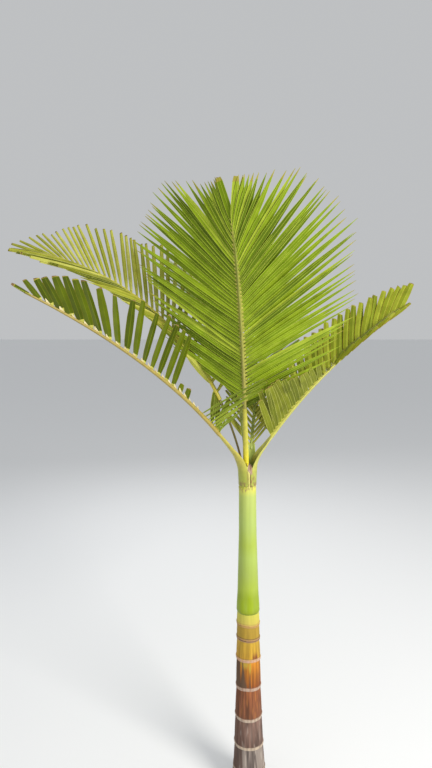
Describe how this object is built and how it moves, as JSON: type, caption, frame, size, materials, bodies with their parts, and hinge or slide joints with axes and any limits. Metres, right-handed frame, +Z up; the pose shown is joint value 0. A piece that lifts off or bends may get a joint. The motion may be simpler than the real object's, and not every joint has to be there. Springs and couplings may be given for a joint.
{
  "type": "crownshaft palm tree",
  "caption": "Young feather palm with a ringed, slightly leaning trunk, a smooth green crownshaft and an open crown of stiff fronds, some of them trimmed.",
  "frame": {"origin": "middle of the flat cut under the trunk, level with the ground", "axes": "+Z up, +X to the right and +Y to the back as the palm is seen in the picture"},
  "size_m": [1.4592, 1.274, 2.0412],
  "materials": {
    "bark": "rough ringed bark, ochre near the top and grey-brown at the foot",
    "sheath": "smooth waxy green leaf sheath",
    "stalk": "smooth yellow-green leaf stalk",
    "fresh_leaf": "satin fresh green leaflet",
    "olive_leaf": "satin olive leaflet with a browned cut end",
    "yellow_leaf": "satin yellow-green leaflet with a cut end",
    "shade_leaf": "satin mid-green leaflet with a cut end"
  },
  "bodies": {
    "root": {"trunk": "bark", "crownshaft": "sheath", "stalk_upright": "stalk", "stalk_left_low": "stalk", "stalk_right": "stalk", "stalk_left_high": "stalk", "stalk_back": "stalk", "stalk_back_left": "stalk", "frond_upright": "fresh_leaf", "frond_left_low": "olive_leaf", "frond_right": "yellow_leaf", "frond_left_high_inner": "yellow_leaf", "frond_left_high_outer": "yellow_leaf", "frond_back_inner": "shade_leaf", "frond_back_outer": "shade_leaf", "frond_back_left_inner": "shade_leaf", "frond_back_left_outer": "shade_leaf"}
  },
  "joints": []
}
